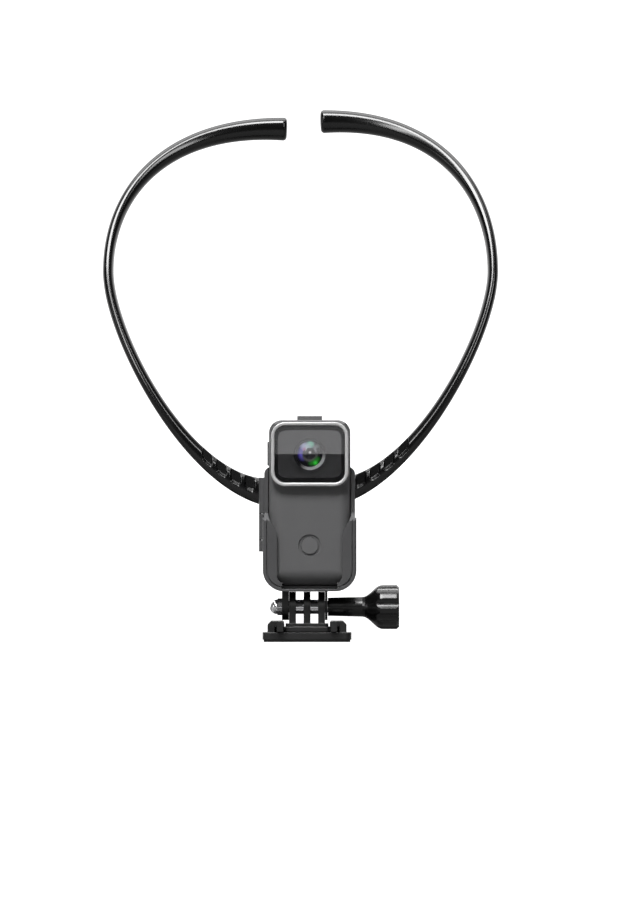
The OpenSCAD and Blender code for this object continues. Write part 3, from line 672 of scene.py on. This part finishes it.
WORLD_FRONT, WORLD_BACK = 0.03, 1.6
WORLD_RAMP = (0.0, 0.9)
FLOOR_HALF = 6.0
FLOOR_DARK = (0.10, 0.10, 0.10)
FLOOR_RAMP_Y = (0.06, 0.8)
FLOOR_GLOW = (0.1, 0.9)
FLOOR_GLOW_SEEN = 0.8
TILT_ROOM = 26 * MM
VIEW_HEIGHT = 0.378
VIEW_DISTANCE = 9.0
AIM = Vector((4.84 * MM, CAMERA_FRONT_Y, -59.4 * MM))


def floor():
    """Pale to the eye; to the object it is dark in front and bright far behind, so that gloss stays deep.

    It lies TILT_ROOM below the base, which swings down when the mount tilts.
    """
    corners = [(x * FLOOR_HALF, y * FLOOR_HALF, 0) for x, y in ((-1, -1), (1, -1), (1, 1), (-1, 1))]
    mesh = bpy.data.meshes.new("floor")
    mesh.from_pydata(corners, [], [(0, 1, 2, 3)])
    obj = bpy.data.objects.new("floor", mesh)
    obj.location.z = FLOOR_Z - TILT_ROOM
    bpy.context.scene.collection.objects.link(obj)
    n = Nodes("pale_floor")
    seen = n.add("ShaderNodeLightPath").outputs["Is Camera Ray"]
    pale = n.mix(n.noise(3, 2), (0.90, 0.90, 0.90), (0.93, 0.93, 0.93))
    n.feed(n.mix(seen, FLOOR_DARK, pale), "Base Color")
    parts = n.add("ShaderNodeSeparateXYZ")
    n.link(n.coords, parts.inputs["Vector"])
    behind = n.span(parts.outputs["Y"], FLOOR_RAMP_Y[0], FLOOR_RAMP_Y[1], FLOOR_GLOW[0], FLOOR_GLOW[1])
    strength = n.add("ShaderNodeMath", operation="MAXIMUM")
    n.link(behind, strength.inputs[0])
    n.link(n.span(seen, 0, FLOOR_GLOW_SEEN), strength.inputs[1])
    n.feed(strength.outputs["Value"], "Emission Strength")
    n.set(Roughness=0.8, Emission_Color=(1, 1, 1, 1))
    mesh.materials.append(n.material)


def world():
    """White to the eye; to the object it is dim in front and bright behind, so that gloss stays deep."""
    made = bpy.data.worlds.new("studio")
    made.use_nodes = True
    tree = made.node_tree
    back = tree.nodes["Background"]
    coords = tree.nodes.new("ShaderNodeTexCoord")
    parts = tree.nodes.new("ShaderNodeSeparateXYZ")
    ramp = tree.nodes.new("ShaderNodeMapRange")
    ramp.interpolation_type = "SMOOTHSTEP"
    for key, value in (("From Min", WORLD_RAMP[0]), ("From Max", WORLD_RAMP[1]),
                       ("To Min", WORLD_FRONT), ("To Max", WORLD_BACK)):
        ramp.inputs[key].default_value = value
    tree.links.new(coords.outputs["Generated"], parts.inputs["Vector"])
    tree.links.new(parts.outputs["Y"], ramp.inputs["Value"])
    seen = tree.nodes.new("ShaderNodeLightPath")
    brighter = tree.nodes.new("ShaderNodeMath")
    brighter.operation = "MAXIMUM"
    tree.links.new(ramp.outputs["Result"], brighter.inputs[0])
    tree.links.new(seen.outputs["Is Camera Ray"], brighter.inputs[1])
    tree.links.new(brighter.outputs["Value"], back.inputs["Strength"])
    back.inputs["Color"].default_value = (1, 1, 1, 1)
    bpy.context.scene.world = made


def softbox(name, place, aim, size, radiance, gloss_only=False):
    """A rectangular light that the camera doesn't see; gloss_only lights reflections alone."""
    light = bpy.data.lights.new(name, "AREA")
    light.shape = "RECTANGLE"
    light.size, light.size_y = size
    light.energy = radiance * math.pi * size[0] * size[1]
    obj = bpy.data.objects.new(name, light)
    obj.location = place
    obj.rotation_mode = "QUATERNION"
    obj.rotation_quaternion = (Vector(aim) - Vector(place)).to_track_quat("-Z", "Y")
    obj.visible_camera = False
    obj.visible_diffuse = not gloss_only
    bpy.context.scene.collection.objects.link(obj)


def lights():
    aim = (0, 0, -0.05)
    softbox("key", (-0.25, -0.9, 1.15), aim, (0.75, 0.6), 22.0)
    softbox("strip_left", (-0.60, -1.9, 0.85), aim, (0.30, 1.1), 13.0, gloss_only=True)
    softbox("strip_right", (0.85, -1.8, 0.80), aim, (0.26, 1.1), 10.0, gloss_only=True)
    softbox("side_left", (-1.3, -0.9, 0.1), aim, (0.4, 0.8), 1.5)
    softbox("top_soft", (0, -0.42, 1.1), aim, (1.8, 0.5), 3.0, gloss_only=True)
    softbox("overhead", (0, 0.25, 1.1), aim, (1.6, 0.8), 4.0)


def camera():
    data = bpy.data.cameras.new("camera")
    data.sensor_width = 36
    data.lens = data.sensor_width * VIEW_DISTANCE / VIEW_HEIGHT
    data.clip_end = 60
    obj = bpy.data.objects.new("camera", data)
    obj.location = AIM - BACK * VIEW_DISTANCE
    obj.rotation_euler = (math.pi / 2, 0, 0)
    bpy.context.scene.collection.objects.link(obj)
    bpy.context.scene.camera = obj


bpy.context.scene.view_settings.view_transform = "Standard"
camera()
floor()
world()
lights()
paint_nodes()
SILICONE = silicone()
left = neck_sleeve("left", SILICONE)
right = neck_sleeve("right", SILICONE)
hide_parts("left_arm", "neck_band_centre")
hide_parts("right_arm")
trim_ring(metal("trim_metal", TRIM_TONES[0], TRIM_TONES[1], (0.30, 0.36), bump=0.01, metallic=0.2))
